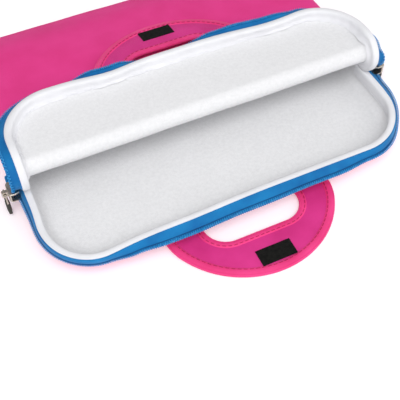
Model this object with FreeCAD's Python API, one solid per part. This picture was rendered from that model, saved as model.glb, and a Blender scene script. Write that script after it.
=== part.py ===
"""A neoprene zip sleeve for a children's tablet, lying open on its back panel.

Frame: +X along the long side, +Y from the zipped side to the closed side,
+Z up, origin on the flat underside, midway between the two short sides and
115 mm in from the zipped side's outer face.  All sizes in millimetres.

The sleeve is drawn zipped shut.  The front panel is then cut across, and the
part in front of the cut is turned back over the rest, one narrow strip after
another, until it lies upside down with its lining on top.
"""
import FreeCAD, Part
import math
import os

from FreeCAD import Vector

# ---- sleeve body ---------------------------------------------------------
half_length = 134.0
near_y = -115.0
far_y = 112.0
near_corner = 38.0
far_corner = 14.0
height = 33.0
far_height = 21.0
slope_start_y = 0.0
bottom_round = 12.0
top_round = 8.0

# ---- the two bonded layers: neoprene outside, plush lining inside --------
neoprene = 3.0
wall = 4.0

# ---- zip line ------------------------------------------------------------
rim_z = 20.0
zip_gap = 0.3
binding_height = 10.0
binding_thick = 0.8
binding_lap = 2.8
binding_cap = 1.0
tape_reach = 7.0
tape_thick = 0.7
tape_z = 19.0
coil_radius = 0.75
zip_end_y = -40.0

# ---- fold of the front panel ---------------------------------------------
fold_y = -46.0
strip_count = 3
strip_width = 6.25
fold_turn = 45.5
half_gap = 0.2

# ---- handles: u across, v away from the sleeve, w up ---------------------
handle_origin_y = -112.0
handle_hinge_v = 12.0
handle_thick = 3.2
side_centre_u = 24.0
side_radius = 38.0
end_centre_v = -11.7
grip_half_width = 35.0
grip_depth = 20.0
grip_corner = 16.0
outer_band = 6.0
inner_band = 5.0
patch_length = 25.0
patch_width = 12.0
patch_v = 34.0
front_droop = 8.0

# ---- slider and pull -----------------------------------------------------
slider_y = -47.0
slider_length = 12.0
slider_inner_x = 136.5
slider_outer_x = 143.6
plate_thick = 1.1
channel_bottom = 18.6
channel_top = 24.1
pull_x = 145.6
pull_z = 21.7
pull_length = 19.0

lining_z = height - wall
flap_rim_z = rim_z + zip_gap
flap_tape_z = tape_z + tape_thick + 4 * coil_radius + zip_gap
big = 400.0


def arc(cx, cy, radius, start, end, z=0.0):
    return Part.makeCircle(radius, Vector(cx, cy, z), Vector(0, 0, 1), start, end)


def line(x1, y1, x2, y2, z=0.0):
    return Part.makeLine(Vector(x1, y1, z), Vector(x2, y2, z))


def block(x1, x2, y1, y2, z1, z2):
    return Part.makeBox(x2 - x1, y2 - y1, z2 - z1, Vector(x1, y1, z1))


def side_profile(points, half_width=big):
    """A prism along X whose section in the YZ plane is the polygon given."""
    corners = [Vector(-half_width, y, z) for y, z in points]
    face = Part.Face(Part.makePolygon(corners + corners[:1]))
    return face.extrude(Vector(2 * half_width, 0, 0))


def outline_edges(inset, z):
    """The sleeve's plan outline, moved inwards by inset, starting at the far left."""
    x = half_length - inset
    near = near_y + inset
    far = far_y - inset
    rn = near_corner - inset
    rf = far_corner - inset
    return [
        line(-x, far - rf, -x, near + rn, z),
        arc(-x + rn, near + rn, rn, 180, 270, z),
        line(-x + rn, near, x - rn, near, z),
        arc(x - rn, near + rn, rn, 270, 360, z),
        line(x, near + rn, x, far - rf, z),
        arc(x - rf, far - rf, rf, 0, 90, z),
        line(x - rf, far, -x + rf, far, z),
        arc(-x + rf, far - rf, rf, 90, 180, z),
    ]


def outline_prism(inset, z1, z2):
    face = Part.Face(Part.Wire(outline_edges(inset, z1)))
    return face.extrude(Vector(0, 0, z2 - z1))


def outline_band(outer_inset, inner_inset, z1, z2):
    return outline_prism(outer_inset, z1, z2).cut(outline_prism(inner_inset, z1 - 1, z2 + 1))


def under_top(inset):
    """Everything below the top face: level over the zip side, then falling in one long arc."""
    run = far_y - slope_start_y
    sag = height - far_height
    radius = (run * run + sag * sag) / (2 * sag)
    centre_z = height - radius
    r = radius - inset
    end_angle = math.radians(20)
    top = height - inset

    def on_arc(angle):
        return Vector(-big, slope_start_y + r * math.sin(angle), centre_z + r * math.cos(angle))

    start = Vector(-big, slope_start_y, top)
    end = on_arc(end_angle)
    near_top = Vector(-big, -big, top)
    near_low = Vector(-big, -big, -big)
    far_low = Vector(-big, end.y, -big)
    edges = [
        Part.makeLine(near_low, near_top),
        Part.makeLine(near_top, start),
        Part.Arc(start, on_arc(end_angle / 2), end).toShape(),
        Part.makeLine(end, far_low),
        Part.makeLine(far_low, near_low),
    ]
    return Part.Face(Part.Wire(edges)).extrude(Vector(2 * big, 0, 0))


def pillow(inset):
    """The closed sleeve with every surface moved inwards by inset."""
    body = outline_prism(inset, inset, height + 10).common(under_top(inset))
    bottom = [e for e in body.Edges if e.BoundBox.ZMax < inset + 0.01]
    body = body.makeFillet(bottom_round - inset, bottom)
    top = []
    for edge in body.Edges:
        box = edge.BoundBox
        upright = box.XLength < 0.01 and box.YLength < 0.01
        crosses = box.XLength > 2 * half_length - 20 and abs(box.YMin - slope_start_y) < 1
        if box.ZMin > bottom_round + 1 and not upright and not crosses:
            top.append(edge)
    return body.makeFillet(top_round - inset, top)


def behind_fold():
    """The region of the fixed front panel, its end leaning back on the outer side."""
    lean = math.tan(math.radians(fold_turn / 2))
    y = fold_y + half_gap
    rise = wall + 1
    return side_profile([
        (y, rim_z), (y, lining_z), (y + rise * lean, lining_z + rise), (y + rise * lean, height + 5),
        (big, height + 5), (big, rim_z)])


def fold_region(index):
    """The region of one strip, counted from the fold; the last index is the whole flap."""
    lean = math.tan(math.radians(fold_turn / 2))
    rise = wall + 1
    back = fold_y - index * strip_width - half_gap
    if index == strip_count:
        front = -big
        front_top = -big
    else:
        front = back - strip_width + 2 * half_gap
        front_top = front + rise * lean
    return side_profile([
        (back, flap_rim_z), (back, lining_z), (back - rise * lean, lining_z + rise),
        (front_top, lining_z + rise), (front, lining_z), (front, flap_rim_z)])


def fold_back(shape, index):
    """Turn a piece of the front panel from its zipped place to its folded-back place."""
    moved = shape.copy()
    for hinge in range(index, -1, -1):
        centre = Vector(0, fold_y - hinge * strip_width, lining_z)
        moved.rotate(centre, Vector(1, 0, 0), -fold_turn)
    return moved


def layers():
    """Neoprene and lining of the closed sleeve, as two nested shells."""
    between = pillow(neoprene)
    return {
        "outer": pillow(0).cut(between),
        "lining": between.cut(pillow(wall)),
    }


def rim_lap(z1, z2):
    """The part of the wall's edge that the binding replaces."""
    return outline_band(wall - binding_lap, wall, z1, z2)


def rim_binding(z1, z2):
    """The binding over the wall's edge, as seen from above."""
    return outline_band(wall - binding_lap, wall + binding_thick, z1, z2)


def inner_binding(z1, z2):
    """The binding's inner leg, against the lining."""
    return outline_band(wall, wall + binding_thick, z1, z2)


def back_panel(shells):
    """The tray lying on the table: full height round the closed sides, bound round the zip sides."""
    low = block(-big, big, -big, big, -1, rim_z)
    near = block(-big, big, -big, fold_y, -1, height)
    cap_z = rim_z - binding_cap
    lap = rim_lap(cap_z, rim_z + 1).common(near)
    binding = rim_binding(cap_z, rim_z).fuse(inner_binding(rim_z - binding_height, cap_z))
    lining = shells["lining"].common(low).cut(lap)
    return {
        "back_outer": shells["outer"].common(low).cut(lap),
        "back_lining": lining,
        "back_binding": binding.common(near).cut(lining),
    }


def zip_tape(z):
    near = block(-big, big, -big, zip_end_y + 6, -1, height)
    return outline_band(-tape_reach, 0, z, z + tape_thick).common(near)


def zip_coil(z):
    """A round bead along the outer edge of the tape."""
    inset = coil_radius - tape_reach
    edges = outline_edges(inset, z)[0:5]
    x = half_length - inset
    near = near_y + near_corner
    edges[0] = line(-x, zip_end_y, -x, near, z)
    edges[4] = line(x, near, x, zip_end_y, z)
    circle = Part.makeCircle(coil_radius, Vector(-x, zip_end_y, z), Vector(0, -1, 0))
    return Part.Wire(edges).makePipeShell([Part.Wire(circle)], True, True)


def side_seam():
    """The raised seam round the closed sides, between the two ends of the zip."""
    far = block(-big, big, zip_end_y + 6.3, big, -1, height)
    return outline_band(-1.6, 0, rim_z - 0.8, rim_z + 0.8).common(far)


def zip_end(side):
    """The fabric tab folded over one end of the zip."""
    x1 = half_length
    x2 = half_length + tape_reach + 0.8
    z1 = tape_z + tape_thick
    z2 = flap_tape_z + 0.5
    tab = block(x1, x2, zip_end_y + 0.3, zip_end_y + 6.0, z1, z2)
    tab = tab.makeFillet(1.0, [e for e in tab.Edges if e.BoundBox.XMin > x2 - 0.01])
    return mirrored(tab, side)


def mirrored(shape, side):
    """The piece itself on the right, its mirror image on the left."""
    if side > 0:
        return shape
    return shape.mirror(Vector(0, 0, 0), Vector(1, 0, 0))


def front_panel(shells):
    """The fixed part of the front panel, from the fold to the closed side."""
    region = behind_fold()
    return {"front_" + name: shell.common(region) for name, shell in shells.items()}


def fold_strips(shells):
    parts = {}
    for index in range(strip_count):
        region = fold_region(index)
        for name, shell in shells.items():
            piece = fold_back(shell.common(region), index)
            parts["fold_%d_%s" % (index + 1, name)] = piece
    return parts


def flap(shells):
    """The folded-back part of the front panel with its binding and its half of the zip."""
    region = fold_region(strip_count)
    cap_z = flap_rim_z + binding_cap
    lap = rim_lap(flap_rim_z - 1, cap_z)
    inside_top = lining_z - (top_round - wall)
    pieces = {
        "flap_outer": shells["outer"].cut(lap),
        "flap_lining": shells["lining"].cut(lap),
        "flap_binding": rim_binding(flap_rim_z, cap_z).fuse(inner_binding(cap_z, inside_top)),
        "flap_zip_tape": zip_tape(flap_tape_z),
        "flap_zip_coil": zip_coil(flap_tape_z - coil_radius),
    }
    return {name: fold_back(shape.common(region), strip_count) for name, shape in pieces.items()}


def handle_outer_face(inset):
    """The rounded end of a handle: two side arcs joined by one flatter arc."""
    join = math.degrees(math.atan2(-end_centre_v, side_centre_u))
    end_radius = side_radius + math.hypot(side_centre_u, end_centre_v)
    r = side_radius - inset
    edges = [
        arc(side_centre_u, 0, r, 0, join),
        arc(0, end_centre_v, end_radius - inset, join, 180 - join),
        arc(-side_centre_u, 0, r, 180 - join, 180),
        line(-side_centre_u - r, 0, -side_centre_u - r, -8),
        line(-side_centre_u - r, -8, side_centre_u + r, -8),
        line(side_centre_u + r, -8, side_centre_u + r, 0),
    ]
    return Part.Face(Part.Wire(edges))


def grip_face(grow):
    """The grip opening, enlarged by grow, running back under the sleeve."""
    half = grip_half_width + grow
    r = grip_corner + grow
    side = grip_half_width - grip_corner
    edges = [
        line(half, -20, half, grip_depth - grip_corner),
        arc(side, grip_depth - grip_corner, r, 0, 90),
        line(side, grip_depth + grow, -side, grip_depth + grow),
        arc(-side, grip_depth - grip_corner, r, 90, 180),
        line(-half, grip_depth - grip_corner, -half, -20),
        line(-half, -20, half, -20),
    ]
    return Part.Face(Part.Wire(edges))


def handle_ring(outer_inset, grip_grow, w1, w2):
    """A layer of the whole handle between an outer outline and a grip opening."""
    up = Vector(0, 0, w2 - w1)
    ring = handle_outer_face(outer_inset).extrude(up)
    ring = ring.cut(grip_face(grip_grow).extrude(up))
    ring.translate(Vector(0, 0, w1))
    return ring


def handle_band(face_outer, face_inner, w1, w2):
    up = Vector(0, 0, w2 - w1)
    band = face_outer.extrude(up).cut(face_inner.extrude(up))
    band.translate(Vector(0, 0, w1))
    return band


def handle_pieces():
    """The loop of one handle, lying flat with its inner face up, beyond its hinge line."""
    beyond = block(-big, big, handle_hinge_v + 0.6, big, -10, 10)
    outer_edge = handle_outer_face(0)
    outer_seam = handle_outer_face(outer_band)
    grip_edge = grip_face(0)
    grip_seam = grip_face(inner_band)
    top = handle_thick
    outer_thread = [handle_outer_face(outer_band - gap) for gap in (1.6, 1.1)]
    grip_thread = [grip_face(inner_band - gap) for gap in (1.1, 1.6)]
    patch = block(-patch_length / 2, patch_length / 2, patch_v, patch_v + patch_width, 2.8, 3.6)
    upright = [e for e in patch.Edges if e.BoundBox.ZLength > 0.5]
    pieces = {
        "foam": handle_ring(outer_band, inner_band, 0.9, 2.3),
        "face": handle_ring(outer_band, inner_band, 2.3, 2.8),
        "backing": handle_ring(outer_band, inner_band, 0.4, 0.9),
        "outer_binding": handle_band(outer_edge, outer_seam, 0, top),
        "grip_binding": handle_band(grip_seam, grip_edge, 0, top),
        "outer_stitch": handle_band(*outer_thread, top, top + 0.2),
        "grip_stitch": handle_band(*grip_thread, top, top + 0.2),
        "patch": patch.makeFillet(0.8, upright),
    }
    return {name: shape.common(beyond) for name, shape in pieces.items()}


def handle_root():
    """The two ends of a handle between its hinge line and the seam on the sleeve."""
    before = block(-big, big, -7, handle_hinge_v - 0.3, -10, 10)
    return handle_ring(0, 0, 0, handle_thick).common(before)


def at_back(shape):
    """Move a handle piece from its own frame to the near edge of the back panel."""
    placed = shape.copy()
    placed.rotate(Vector(0, 0, 0), Vector(0, 0, 1), 180)
    placed.translate(Vector(0, handle_origin_y, 0))
    return placed


def at_front(shape, droop=0.0):
    """Move a handle piece to the flap's edge, then fold it back with the flap."""
    placed = at_back(shape)
    placed.rotate(Vector(0, 0, height / 2), Vector(0, 1, 0), 180)
    if droop:
        hinge = Vector(0, handle_origin_y - handle_hinge_v, height - handle_thick)
        placed.rotate(hinge, Vector(1, 0, 0), -droop)
    return fold_back(placed, strip_count)


def handles(closed_body):
    parts = {}
    for name, piece in handle_pieces().items():
        parts["handle_back_" + name] = at_back(piece)
        parts["handle_front_" + name] = at_front(piece, front_droop)
    parts["handle_back_root"] = at_back(handle_root()).cut(closed_body)
    front_root = at_back(handle_root())
    front_root.rotate(Vector(0, 0, height / 2), Vector(0, 1, 0), 180)
    parts["handle_front_root"] = fold_back(front_root.cut(closed_body), strip_count)
    return parts


def slider_body():
    """Two plates joined on the outer side, with a small ring for the pull."""
    y1 = slider_y - slider_length / 2
    y2 = slider_y + slider_length / 2
    bottom = channel_bottom - plate_thick
    top = channel_top + plate_thick
    body = block(slider_inner_x, slider_outer_x, y1, y2, bottom, top)
    corners = [e for e in body.Edges if e.BoundBox.ZLength > 5]
    body = body.makeFillet(2.5, corners)
    rims = [e for e in body.Edges if e.BoundBox.ZLength < 0.01]
    body = body.makeFillet(0.45, rims)
    channel = block(0, slider_outer_x - 1.2, y1 - 1, y2 + 1, channel_bottom, channel_top)
    ring_x = slider_outer_x - 0.3
    ring = block(ring_x, pull_x + 2.0, slider_y - 1.2, slider_y + 1.2, pull_z - 2.2, pull_z + 2.2)
    ring_corners = [e for e in ring.Edges if e.BoundBox.YLength > 2 and e.BoundBox.XMin > pull_x]
    ring = ring.makeFillet(1.2, ring_corners)
    eye = Part.makeCylinder(1.1, 6, Vector(pull_x, slider_y - 3, pull_z), Vector(0, 1, 0))
    return body.fuse(ring).cut(channel).cut(eye)


def pull_link():
    """A flat metal loop: an axle through the slider's ring, two legs and a foot."""
    axle = Part.makeCylinder(0.6, 6.4, Vector(pull_x, slider_y - 3.2, pull_z), Vector(0, 1, 0))
    legs = block(pull_x - 0.5, pull_x + 0.5, slider_y - 3.2, slider_y + 3.2, pull_z - 7.5, pull_z + 0.9)
    hole = block(pull_x - 1, pull_x + 1, slider_y - 1.9, slider_y + 1.9, pull_z - 5.0, pull_z + 2)
    legs = legs.cut(hole)
    return legs.fuse(axle)


def pull_grip():
    """The moulded tab on the end of the link."""
    top = pull_z - 7.5
    bottom = pull_z - pull_length
    tab = block(pull_x - 1.3, pull_x + 1.3, slider_y - 3.0, slider_y + 3.0, bottom, top)
    ends = [e for e in tab.Edges if e.BoundBox.XLength > 2]
    tab = tab.makeFillet(1.8, ends)
    return tab.makeFillet(0.6, [e for e in tab.Edges if e.BoundBox.XLength < 0.01])


def save(parts):
    os.makedirs("parts", exist_ok=True)
    for name, shape in parts.items():
        shape.exportStep("parts/%s.step" % name)


shells = layers()
all_parts = {}
all_parts.update(back_panel(shells))
all_parts.update(front_panel(shells))
all_parts.update(fold_strips(shells))
all_parts.update(flap(shells))
all_parts.update(handles(pillow(0)))
all_parts["back_zip_tape"] = zip_tape(tape_z)
all_parts["back_zip_coil"] = zip_coil(tape_z + tape_thick + coil_radius)
all_parts["side_seam"] = side_seam()
for label, side in (("right", 1), ("left", -1)):
    all_parts["zip_end_" + label] = zip_end(side)
    all_parts["slider_" + label] = mirrored(slider_body(), side)
    all_parts["pull_link_" + label] = mirrored(pull_link(), side)
    all_parts["pull_grip_" + label] = mirrored(pull_grip(), side)
save(all_parts)
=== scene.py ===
"""The look of a child's neoprene zip sleeve, lying open with its front flap folded back.

Every soft piece is drawn zipped shut, in millimetres, and then laid over the fold by place().
"""

import math

import bmesh
import bpy
import numpy as np
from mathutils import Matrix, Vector

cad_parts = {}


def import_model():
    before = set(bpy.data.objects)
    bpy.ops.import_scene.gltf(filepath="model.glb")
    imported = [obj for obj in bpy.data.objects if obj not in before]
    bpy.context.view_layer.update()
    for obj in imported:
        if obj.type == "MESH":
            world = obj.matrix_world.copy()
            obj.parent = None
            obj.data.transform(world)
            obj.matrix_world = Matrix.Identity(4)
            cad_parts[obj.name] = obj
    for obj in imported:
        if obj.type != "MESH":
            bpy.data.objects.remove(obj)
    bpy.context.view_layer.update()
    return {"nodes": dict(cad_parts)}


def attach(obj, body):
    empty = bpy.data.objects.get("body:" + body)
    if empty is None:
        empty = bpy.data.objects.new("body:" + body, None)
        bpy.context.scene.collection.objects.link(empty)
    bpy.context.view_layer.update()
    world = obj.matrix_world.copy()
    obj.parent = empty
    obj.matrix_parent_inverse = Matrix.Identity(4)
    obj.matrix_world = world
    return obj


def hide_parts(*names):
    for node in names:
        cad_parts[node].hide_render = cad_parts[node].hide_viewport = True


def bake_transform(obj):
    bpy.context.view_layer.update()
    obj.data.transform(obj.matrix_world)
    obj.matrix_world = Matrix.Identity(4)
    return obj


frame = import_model()
rng = np.random.default_rng(7)

# ---- sleeve, as in the CAD part, in millimetres ---------------------------
HALF = 134.0
NEAR = -115.0
FAR = 112.0
NEAR_CORNER = 38.0
FAR_CORNER = 14.0
HEIGHT = 33.0
FAR_HEIGHT = 21.0
TOP_ROUND = 8.0
BOTTOM_ROUND = 12.0
EDGE_SLUMP = 3.0
SLUMP_RUN = 28.0
SEAM_LEVEL_TO = 30.0
SEAM_FALL = 9.0
NEOPRENE = 3.0
WALL = 4.0
RIM = 20.0
FLAP_RIM = 20.3
SKIN_RIM = 20.9
LINING_Z = HEIGHT - WALL
FLOOR_INSETS = (112.5, 104.0, 94.0, 84.0, 74.0, 64.0, 54.0, 46.0, 39.0, 33.0, 28.0, 24.0, 20.0, 16.0)

# ---- how the open cloth hangs: humps are height, middle along X, spread -----
TRAY_SLOUCH = ((4.6, -106.0, 30.0), (1.8, -45.0, 36.0))
FLAP_DENTS = ((3.0, -52.0, 20.0), (3.8, 74.0, 30.0))
SIDE_LEAN = 3.8

# ---- the fold: four hinges that share one turn ----------------------------
HINGE_STEP = 6.25
HINGE_TURN = math.radians(45.5)
HINGES = 4
BEND_START = -46.0 + HINGE_STEP / 2
BEND_LENGTH = HINGES * HINGE_STEP
BEND_TURN = HINGES * HINGE_TURN
BEND_RADIUS = HINGE_STEP / 2 / math.tan(HINGE_TURN / 2)
BEND_CENTRE_Z = LINING_Z + BEND_RADIUS
TRIM_START = -4.0
PINCH = 0.3
PINCH_RUN = 30.0
HINGE_SLACK = 0.63

# ---- zip ------------------------------------------------------------------
TAPE_REACH = 7.0
TAPE_Z = 19.35
COIL_PITCH = 1.5
COIL_STEPS = 8
COIL_WIRE = 0.34
COIL_RISE = 0.5

# ---- sliders' pulls --------------------------------------------------------
SLIDER_Y = -47.0
PULL_X = 145.6
PULL_Z = 21.7
PULL_LENGTH = 19.0
PULL_RIBS = 4

# ---- stitches that hold the bindings ---------------------------------------
TRAY_STITCH_INSET = 5.25
TRAY_STITCH_Z = 11.6
FLAP_STITCH_INSET = 6.25
FLAP_STITCH_ABOVE = 7.05

# ---- handles --------------------------------------------------------------
HANDLE_Y = -112.0
HINGE_V = 12.0
HANDLE_THICK = 3.2
SIDE_U = 24.0
SIDE_R = 38.0
END_V = -11.7
GRIP_HALF = 35.0
GRIP_DEPTH = 20.0
GRIP_CORNER = 16.0
OUTER_BAND = 6.0
INNER_BAND = 5.0
DROOP = math.radians(8.0)
PATCH_HALF = 12.5
PATCH_V = 34.0
PATCH_WIDTH = 12.0
PATCH_TOP = 3.35
PATCH_BOTTOM = 2.7
PATCH_PILE = 0.07

# ---- camera: where it stands round the sleeve ------------------------------
CAMERA_AZIMUTH = -25.25
CAMERA_ELEVATION = 52.78
CAMERA_DISTANCE = 480.0
CAMERA_TARGET = (-32.1, -104.6, 20.0)
CAMERA_LENS = 66.5


# ============================ geometry helpers ==============================

def smoothstep(t):
    """An even rise from 0 to 1, level at both ends."""
    t = np.clip(t, 0.0, 1.0)
    return t * t * (3 - 2 * t)


def top_z(y):
    """Height of the closed sleeve's upper face: level, then falling in one long arc."""
    sag = HEIGHT - FAR_HEIGHT
    radius = (FAR * FAR + sag * sag) / (2 * sag)
    fall = np.clip(y, 0, None)
    slump = EDGE_SLUMP * smoothstep((np.asarray(y, float) - (FAR - SLUMP_RUN)) / SLUMP_RUN)
    return HEIGHT - (radius - np.sqrt(radius * radius - fall * fall)) - slump


def seam_z(y):
    """Height of the seam where the front and back panels meet."""
    return RIM - SEAM_FALL * smoothstep((np.asarray(y, float) - SEAM_LEVEL_TO) / (FAR - SEAM_LEVEL_TO))


def softness(x, y):
    """Slow swells of the cloth, a fraction of a millimetre high."""
    return (0.35 * np.sin(x / 31.0 + 0.7) * np.cos(y / 27.0)
            + 0.22 * np.sin((x + 1.6 * y) / 19.0)
            + 0.12 * np.sin((1.3 * x - y) / 9.0))


def distances(points):
    """How far along a line each of its points is."""
    return np.concatenate([[0], np.cumsum(np.linalg.norm(np.diff(points, axis=0), axis=1))])


def stitch_row(name, points, slot, length=2.2, pitch=3.2, radius=0.26):
    """Separate stitches along a line of points, each a short raised bar of thread."""
    run = distances(points)
    made = []
    for start in np.arange(1.0, run[-1] - length, pitch):
        at = np.linspace(start, start + length, 5)
        bar = np.stack([np.interp(at, run, points[:, k]) for k in range(3)], -1)
        made.append(sweep("stitch", tube_rings(bar, radius, 5), slot))
    return join(name, made)


def humps(x, shapes):
    """Smooth humps along the long side, each with its height, middle and spread."""
    return sum(size * np.exp(-((x - middle) / spread) ** 2) for size, middle, spread in shapes)


def towards_zip(y, start, run):
    """Rises from 0 to 1 over a run towards the zipped side, from a distance off the middle."""
    return smoothstep((-np.asarray(y, float) - start) / run)


def lean_out(points):
    """Points of the tray moved by its slouch and its sideways lean, more the higher they are."""
    points = np.array(points, float)
    share = smoothstep(points[..., 2] / RIM)
    sideways = SIDE_LEAN * towards_zip(points[..., 1], 62.0, 50.0)
    outwards = humps(points[..., 0], TRAY_SLOUCH) * towards_zip(points[..., 1], 66.0, 38.0)
    points[..., 1] -= outwards * share
    points[..., 0] -= sideways * share
    return points


def sag_in(x, y, z):
    """How far the open flap's wall sags inwards, most at its rim, in two shallow dents."""
    return humps(x, FLAP_DENTS) * towards_zip(y, 88.0, 20.0) * smoothstep((HEIGHT - z) / 12.0)


def place(x, y, height):
    """A point of the front panel at a height above the lining's inner face, laid over the fold."""
    x, y, height = np.broadcast_arrays(np.asarray(x, float), y, height)
    u = BEND_START - y
    flat = np.stack([x, y, LINING_Z + height], -1)
    angle = np.clip(u / BEND_LENGTH, 0, 1) * BEND_TURN
    within = np.mod(angle, HINGE_TURN) / HINGE_TURN
    near_hinge = np.sin(np.pi * within) ** 2
    gain = HINGE_SLACK * near_hinge * np.clip(height / WALL, 0, 1)
    radius = BEND_RADIUS - height + gain
    beyond = np.clip(u - BEND_LENGTH, 0, None)
    bent = np.stack([
        x,
        BEND_START - radius * np.sin(angle) - beyond * math.cos(BEND_TURN),
        BEND_CENTRE_Z - radius * np.cos(angle) + beyond * math.sin(BEND_TURN)], -1)
    return np.where((u > 0)[..., None], bent, flat)


def curl_share(y):
    """How much of the border's curl is left: the fold pinches it flatter."""
    u = BEND_START - np.asarray(y, float)
    return 1.0 - PINCH * np.sin(np.pi * np.clip(u / PINCH_RUN, 0, 1)) ** 2


def panel_point(x, y, drop, depth):
    """A point of the front panel, drop below its upper face, on the layer at that depth."""
    x, y, drop = np.broadcast_arrays(np.asarray(x, float), y, drop)
    full = HEIGHT - RIM
    scale = np.where(y > BEND_START, (top_z(y) - seam_z(y)) / full, curl_share(y))
    eased = depth + (drop - depth) * scale
    level = np.where(y > BEND_START, top_z(y), HEIGHT)
    edge_fade = np.clip((full - drop) / full, 0, 1)
    lift = softness(x, y) * edge_fade
    return place(x, y + sag_in(x, y, HEIGHT - drop), level - eased - LINING_Z + lift)


def section(depth, rim):
    """Inset and drop across the border of a layer, from the rim up the wall and over."""
    inset = [depth] * 3
    drop = [HEIGHT - rim, HEIGHT - rim - 2.5, TOP_ROUND + 0.6]
    for a in np.radians(np.linspace(0, 90, 8)):
        inset.append(TOP_ROUND - (TOP_ROUND - depth) * math.cos(a))
        drop.append(TOP_ROUND - (TOP_ROUND - depth) * math.sin(a))
    return np.array(inset), np.array(drop)


FLAP_INSET = BEND_START - BEND_LENGTH - NEAR
BORDER_INSETS = np.array([11.0, 15.0, 20.0, 26.0, 33.0, 40.0, FLAP_INSET])
INNER_X = np.linspace(HALF - FLAP_INSET, 0, 13)[1:]


def columns(depth, rim, whole):
    """Insets and drops from the edge inwards; whole runs on to the middle line."""
    inset, drop = section(depth, rim)
    rest = BORDER_INSETS
    if whole:
        rest = np.concatenate([rest, HALF - INNER_X])
    return np.concatenate([inset, rest]), np.concatenate([drop, np.full(len(rest), depth)])


def corner_arc(cx, cy, r, a0, a1, count):
    """Points on an arc, with its angles in degrees."""
    a = np.radians(np.linspace(a0, a1, count))
    return np.stack([cx + r * np.cos(a), cy + r * np.sin(a)], -1)


def straight(x0, y0, x1, y1, count):
    """Evenly spaced points from one end of a line to the other."""
    t = np.linspace(0, 1, count)[:, None]
    return np.array([[x0, y0]]) * (1 - t) + np.array([[x1, y1]]) * t


def near_path(inset, y_end, radius, legs=9, arcs=13, middle=25):
    """A U round the zipped side, from the left leg's end to the right leg's end."""
    x = HALF - inset
    near = NEAR + inset
    return np.concatenate([
        straight(-x, y_end, -x, near + radius, legs)[:-1],
        corner_arc(-x + radius, near + radius, radius, 180, 270, arcs)[:-1],
        straight(-x + radius, near, x - radius, near, middle)[:-1],
        corner_arc(x - radius, near + radius, radius, 270, 360, arcs)[:-1],
        straight(x, near + radius, x, y_end, legs)])


def far_path(inset, y_end, radius, legs=24, arcs=9, middle=33):
    """A U round the closed side, from the right leg's end to the left leg's end."""
    x = HALF - inset
    far = FAR - inset
    return np.concatenate([
        straight(x, y_end, x, far - radius, legs)[:-1],
        corner_arc(x - radius, far - radius, radius, 0, 90, arcs)[:-1],
        straight(x - radius, far, -x + radius, far, middle)[:-1],
        corner_arc(-x + radius, far - radius, radius, 90, 180, arcs)[:-1],
        straight(-x, far - radius, -x, y_end, legs)])


def whole_loop(inset):
    """The closed outline at an inset, with corners that shrink towards the middle."""
    near_r = max(NEAR_CORNER - inset, 1.0)
    far_r = max(FAR_CORNER - inset, 1.0)
    split = (NEAR + FAR) / 2
    return np.concatenate([
        near_path(inset, split, near_r, 14, 15, 41)[:-1],
        far_path(inset, split, far_r, 14, 9, 41)[:-1]])


# ============================== mesh builders ===============================

def shade_smooth(obj):
    """Smooth shading on every face."""
    for polygon in obj.data.polygons:
        polygon.use_smooth = True


def to_mesh(name, points, faces, slot, smooth=50):
    """A mesh object in metres from points in millimetres."""
    mesh = bpy.data.meshes.new(name)
    mesh.from_pydata([tuple(p) for p in np.asarray(points) / 1000.0], [], faces)
    bm = bmesh.new()
    bm.from_mesh(mesh)
    bmesh.ops.recalc_face_normals(bm, faces=bm.faces)
    bm.to_mesh(mesh)
    bm.free()
    obj = bpy.data.objects.new(name, mesh)
    shade_smooth(obj)
    mesh.set_sharp_from_angle(angle=math.radians(smooth))
    bpy.context.scene.collection.objects.link(obj)
    obj.data.materials.append(MATERIALS[slot])
    return obj


def solid_sheet(name, patches, slot):
    """A closed solid between two matching sets of grids, an upper and a lower face."""
    index = {}
    upper, lower, faces = [], [], []
    for grid_a, grid_b in patches:
        rows, cols = grid_a.shape[:2]
        ids = np.empty((rows, cols), int)
        for r in range(rows):
            for c in range(cols):
                key = tuple(np.round(grid_a[r, c], 3))
                if key not in index:
                    index[key] = len(upper)
                    upper.append(grid_a[r, c])
                    lower.append(grid_b[r, c])
                ids[r, c] = index[key]
        for r in range(rows - 1):
            for c in range(cols - 1):
                quad = [ids[r, c], ids[r, c + 1], ids[r + 1, c + 1], ids[r + 1, c]]
                loop = [v for i, v in enumerate(quad) if v != quad[i - 1]]
                if len(set(loop)) >= 3:
                    faces.append(tuple(int(v) for v in loop))
    count = len(upper)
    use = {}
    for face in faces:
        for i, v in enumerate(face):
            edge = (face[i - 1], v)
            use.setdefault(tuple(sorted(edge)), []).append(edge)
    rim = [e[0] for e in use.values() if len(e) == 1]
    sides = [(b, a, a + count, b + count) for a, b in rim]
    under = [tuple(v + count for v in reversed(face)) for face in faces]
    return to_mesh(name, upper + lower, faces + under + sides, slot)


def sweep(name, rings, slot, closed_path=False, smooth=50):
    """A solid from closed section rings, one after another."""
    rings = np.asarray(rings)
    count, sides = rings.shape[:2]
    faces = []
    last = count if closed_path else count - 1
    for r in range(last):
        n = (r + 1) % count
        for c in range(sides):
            d = (c + 1) % sides
            faces.append((r * sides + c, r * sides + d, n * sides + d, n * sides + c))
    if not closed_path:
        faces.append(tuple(range(sides - 1, -1, -1)))
        faces.append(tuple((count - 1) * sides + c for c in range(sides)))
    return to_mesh(name, rings.reshape(-1, 3), faces, slot, smooth)


def join(name, pieces):
    """Several mesh objects made into one."""
    keep = pieces[0]
    bm = bmesh.new()
    for piece in pieces:
        bm.from_mesh(piece.data)
    bm.to_mesh(keep.data)
    bm.free()
    for piece in pieces[1:]:
        bpy.data.objects.remove(piece)
    keep.name = name
    shade_smooth(keep)
    return keep


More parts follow.
